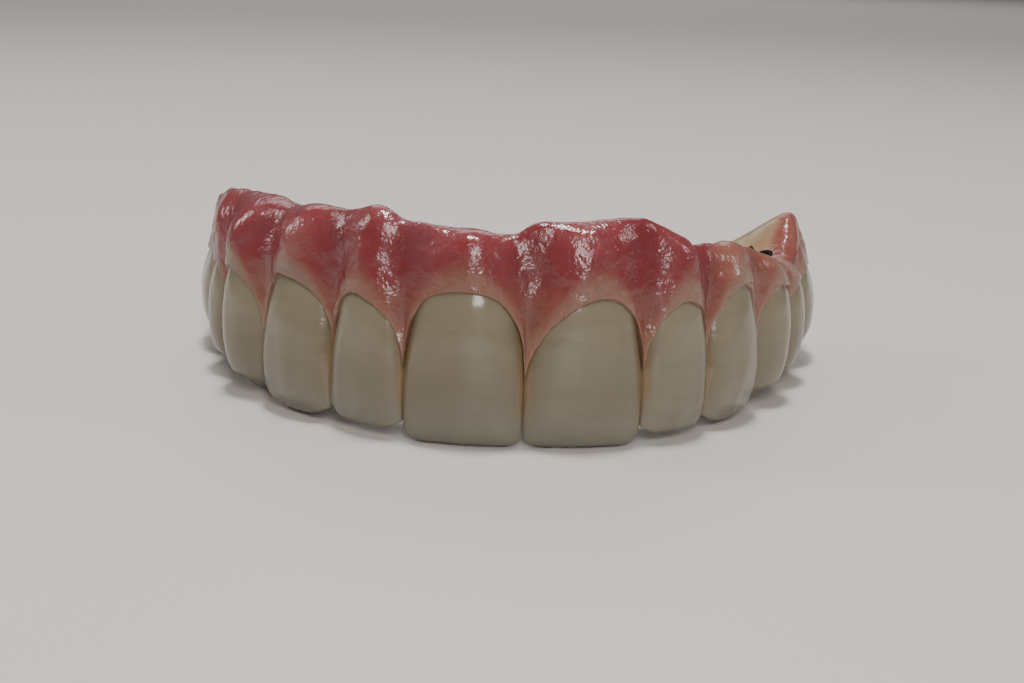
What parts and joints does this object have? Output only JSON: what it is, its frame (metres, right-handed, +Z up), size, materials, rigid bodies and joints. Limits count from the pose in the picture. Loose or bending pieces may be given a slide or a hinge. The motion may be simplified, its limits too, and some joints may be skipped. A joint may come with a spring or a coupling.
{
  "type": "full denture",
  "caption": "Upper full-arch implant denture: a horseshoe of teeth set in pink gum on a cream framework with metal screw sleeves, lying teeth down.",
  "frame": {"origin": "on the table under the middle of the bounding box, level with the lowest biting edges", "axes": "+X to the viewer's right across the arch (the picture's right side), +Y from the lips to the open back of the arch, +Z up from the biting edges to the ridge side"},
  "size_m": [0.0552, 0.0374, 0.0167],
  "materials": {
    "tooth": "glazed, olive-beige, greyer towards the biting edge",
    "gum": "glossy, finely stippled, deep pink with paler collars",
    "framework": "smooth, cream",
    "sleeve_metal": "turned, dark grey"
  },
  "bodies": {
    "root": {"framework": "framework", "gum_facing": "gum", "implant_sleeve_left_lateral_incisor": "sleeve_metal", "implant_sleeve_left_first_premolar": "sleeve_metal", "implant_sleeve_left_first_molar": "sleeve_metal", "implant_sleeve_right_lateral_incisor": "sleeve_metal", "implant_sleeve_right_first_premolar": "sleeve_metal", "implant_sleeve_right_first_molar": "sleeve_metal", "tooth_left_central_incisor": "tooth", "tooth_left_lateral_incisor": "tooth", "tooth_left_canine": "tooth", "tooth_left_first_premolar": "tooth", "tooth_left_second_premolar": "tooth", "tooth_left_first_molar": "tooth", "tooth_right_central_incisor": "tooth", "tooth_right_lateral_incisor": "tooth", "tooth_right_canine": "tooth", "tooth_right_first_premolar": "tooth", "tooth_right_second_premolar": "tooth", "tooth_right_first_molar": "tooth"}
  },
  "joints": []
}
